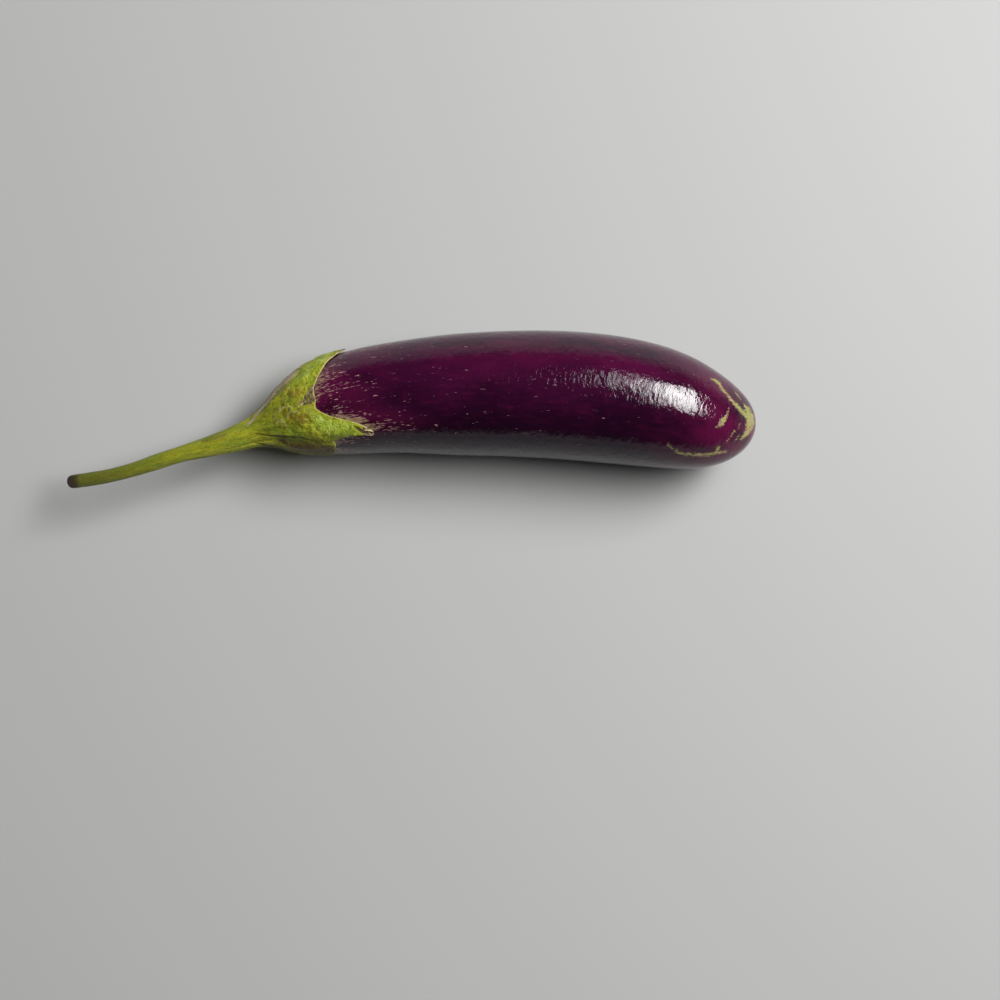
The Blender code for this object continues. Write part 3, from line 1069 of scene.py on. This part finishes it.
@dataclass
class DryTip:
    """The front lobe's dried tip: a flap rolled over, and a small cup at the very end."""

    form: GreenForm = GreenForm()
    fruit: FruitForm = FruitForm()
    finish: DryFinish = DryFinish()
    curls: tuple[Curl, ...] = (
        Curl((37.6, -27.6), (43.8, -33), 0.85 * MM, (-95, 100), 0.5 * MM, 0.8),
        Curl((41.9, -34.6), (46, -36.4), 1.5 * MM, (50, 285), 1.35 * MM, 0.9),
    )
    thickness: float = 0.3 * MM
    crumple: float = 0.16 * MM
    cells: int = 36

    def strip(self, curl: Curl, seed: float, middle_line: MiddleLine) -> Piece:
        """Makes one flap.

        Args:
            curl: Its form.
            seed: Picks its crumples.
            middle_line: The line that it is bent along.

        Returns:
            The flap, undressed.
        """
        piece = Piece("dry_tip", middle_line)
        bpy.ops.object.select_all(action="DESELECT")
        bpy.ops.mesh.primitive_grid_add(x_subdivisions=self.cells, y_subdivisions=self.cells, size=1)
        piece.take()
        along, across = piece.points()[:, 0] + 0.5, piece.points()[:, 1] + 0.5
        roll = np.radians(curl.roll[0] + (curl.roll[1] - curl.roll[0]) * across)
        tube = curl.radius * np.sqrt(1 - curl.taper * (2 * along - 1) ** 2)
        flat = np.column_stack([along * 5, across * 6, np.zeros(len(along))])
        tube += self.crumple * cloud(flat, (1.3, 1.3, 1), seed, 3)
        past_crown = (curl.start[0] + (curl.end[0] - curl.start[0]) * along) * MM
        turn = np.radians(curl.start[1] + (curl.end[1] - curl.start[1]) * along)
        height = self.fruit.radius(past_crown) + curl.raised + tube * np.cos(roll)
        turn += tube * np.sin(roll) / height
        straight = np.column_stack([
            self.form.stem_length + past_crown, height * np.sin(turn), height * np.cos(turn),
        ])
        piece.keep_places(straight)
        piece.carry(Mark.TO_RIM, 6 * np.minimum(across, 1 - across))
        piece.bend(straight)
        piece.modify("SOLIDIFY", thickness=self.thickness, offset=0)
        piece.refine("CATMULL_CLARK", 1)
        return piece

    def build(self, middle_line: MiddleLine) -> Piece:
        """Makes the flaps and joins them.

        Args:
            middle_line: The line that they are bent along.

        Returns:
            The dressed piece.
        """
        flaps = [self.strip(curl, 4.1 + i, middle_line) for i, curl in enumerate(self.curls)]
        bpy.ops.object.select_all(action="DESELECT")
        for flap in flaps:
            flap.object.select_set(True)
        bpy.context.view_layer.objects.active = flaps[0].object
        bpy.ops.object.join()
        flaps[0].take()
        flaps[0].dress(self.finish.material(), "", "green_calyx")
        return flaps[0]


@dataclass
class Studio:
    """The pale floor, the soft light and the camera that looks straight down.

    The main light's face isn't evenly bright: each beam holds places from 0 to 1 along its width or
    height, with the brightness there.
    """

    centre: Pair = (36.35 * MM, -37.2 * MM)
    camera_height: float = 900 * MM
    focus_height: float = 26 * MM
    frame_width: float = 410 * MM
    sensor_width: float = 36
    floor_size: float = 4.0
    horizon: float = 0.42
    beam_across: Places = ((0.01, 0.35), (0.35, 0.75), (0.6, 1), (0.85, 0.8), (0.99, 0.45))
    beam_along: Places = (
        (0.01, 0.5), (0.15, 0.9), (0.5, 1), (0.7, 0.85), (0.76, 0.2), (0.82, 0.2), (0.87, 0.6), (0.99, 0.4),
    )
    overhead: float = 0.03
    horizon_height: float = 0.35
    aim: Triple = (60 * MM, 0, 30 * MM)
    floor_finish: FloorFinish = FloorFinish()

    def lay_floor(self) -> None:
        """Adds the floor."""
        bpy.ops.object.select_all(action="DESELECT")
        bpy.ops.mesh.primitive_plane_add(size=self.floor_size)
        floor = bpy.context.active_object
        floor.name = "floor"
        floor.data.materials.append(self.floor_finish.material())

    def shape_beam(self, data: bpy.types.AreaLight) -> None:
        """Makes a light's face brighter in some places than in others.

        Args:
            data: The light.
        """
        data.use_nodes = True
        nodes, links = data.node_tree.nodes, data.node_tree.links
        split = nodes.new("ShaderNodeSeparateXYZ")
        links.new(nodes.new("ShaderNodeNewGeometry").outputs["Parametric"], split.inputs["Vector"])
        for axis, face, socket in (("X", self.beam_across, "Color"), ("Y", self.beam_along, "Strength")):
            ramp = nodes.new("ShaderNodeValToRGB")
            stops = ramp.color_ramp.elements
            for place, brightness in face:
                stops.new(place).color = (brightness, brightness, brightness, 1)
            stops.remove(stops[0])
            stops.remove(stops[-1])
            links.new(split.outputs[axis], ramp.inputs["Fac"])
            links.new(ramp.outputs["Color"], nodes["Emission"].inputs[socket])

    def hang_light(
        self, name: str, towards: Triple, distance: float, size: Pair, roll: float,
        power: float, shaped: bool = False,
    ) -> None:
        """Adds a soft rectangular light that faces the fruit.

        Args:
            name: The light's name.
            towards: The direction from the fruit to the light.
            distance: How far away it hangs.
            size: Its width and height.
            roll: How far it is turned about its own beam, in degrees.
            power: Its power in watts.
            shaped: Whether its face has the studio's beam, not one even brightness.
        """
        data = bpy.data.lights.new(name, "AREA")
        data.shape = "RECTANGLE"
        data.size, data.size_y = size
        data.energy = power
        if shaped:
            self.shape_beam(data)
        light = bpy.data.objects.new(name, data)
        bpy.context.scene.collection.objects.link(light)
        direction = Vector(towards).normalized()
        light.location = Vector(self.aim) + direction * distance
        light.rotation_mode = "QUATERNION"
        rolled = Quaternion((0, 0, 1), math.radians(roll))
        light.rotation_quaternion = (-direction).to_track_quat("-Z", "Y") @ rolled

    def set_surroundings(self) -> None:
        """Makes the pale room, brightest along the horizon."""
        world = bpy.data.worlds.new("pale_room")
        world.use_nodes = True
        nodes, links = world.node_tree.nodes, world.node_tree.links
        direction = nodes.new("ShaderNodeTexCoord").outputs["Generated"]
        split = nodes.new("ShaderNodeSeparateXYZ")
        fade = nodes.new("ShaderNodeMapRange")
        fade.interpolation_type = "SMOOTHERSTEP"
        values = {
            "From Min": 0.0, "From Max": self.horizon_height, "To Min": self.horizon, "To Max": self.overhead,
        }
        for name, value in values.items():
            fade.inputs[name].default_value = value
        links.new(direction, split.inputs["Vector"])
        links.new(split.outputs["Z"], fade.inputs["Value"])
        links.new(fade.outputs["Result"], nodes["Background"].inputs["Strength"])
        nodes["Background"].inputs["Color"].default_value = (1, 1, 1, 1)
        bpy.context.scene.world = world

    def set_camera(self) -> None:
        """Looks straight down, with the photo's top towards +Y."""
        data = bpy.data.cameras.new("camera")
        data.sensor_width = self.sensor_width
        data.lens = self.sensor_width * (self.camera_height - self.focus_height) / self.frame_width
        camera = bpy.data.objects.new("camera", data)
        camera.location = (*self.centre, self.camera_height)
        bpy.context.scene.collection.objects.link(camera)
        bpy.context.scene.camera = camera

    def build(self) -> None:
        """Sets up the whole studio."""
        self.lay_floor()
        self.hang_light("softbox", (0.505, 0.29, 0.81), 2.0, (1.5, 0.88), -35, 118, True)
        self.hang_light("window", (0.2, 0.54, 0.81), 2.2, (0.2, 1.1), 10, 3.5)
        self.set_surroundings()
        self.set_camera()
        scene = bpy.context.scene
        scene.view_settings.view_transform = "Standard"
        scene.view_settings.look = "None"


def fit_to_frame(pieces: list[Piece]) -> None:
    """Moves the pieces together until they lie over the middle of the frame, as the solids do.

    Args:
        pieces: The bent pieces.
    """
    everything = np.vstack([piece.points() for piece in pieces])
    middle = (everything.min(axis=0) + everything.max(axis=0)) / 2
    wanted = (np.array(cad_bounds[0]) + np.array(cad_bounds[1])) / 2
    shift = (wanted - middle) * (1, 1, 0)
    for piece in pieces:
        piece.put(piece.points() + shift)


def main() -> None:
    """Builds and dresses everything in order."""
    logging.basicConfig(level=logging.INFO, format="%(name)s: %(message)s")
    middle_line = MiddleLine()
    pieces = [
        CalyxAndStem().build(middle_line),
        DryTip().build(middle_line),
        Fruit().build(middle_line),
    ]
    fit_to_frame(pieces)
    Studio().build()


if __name__ == "__main__":
    main()
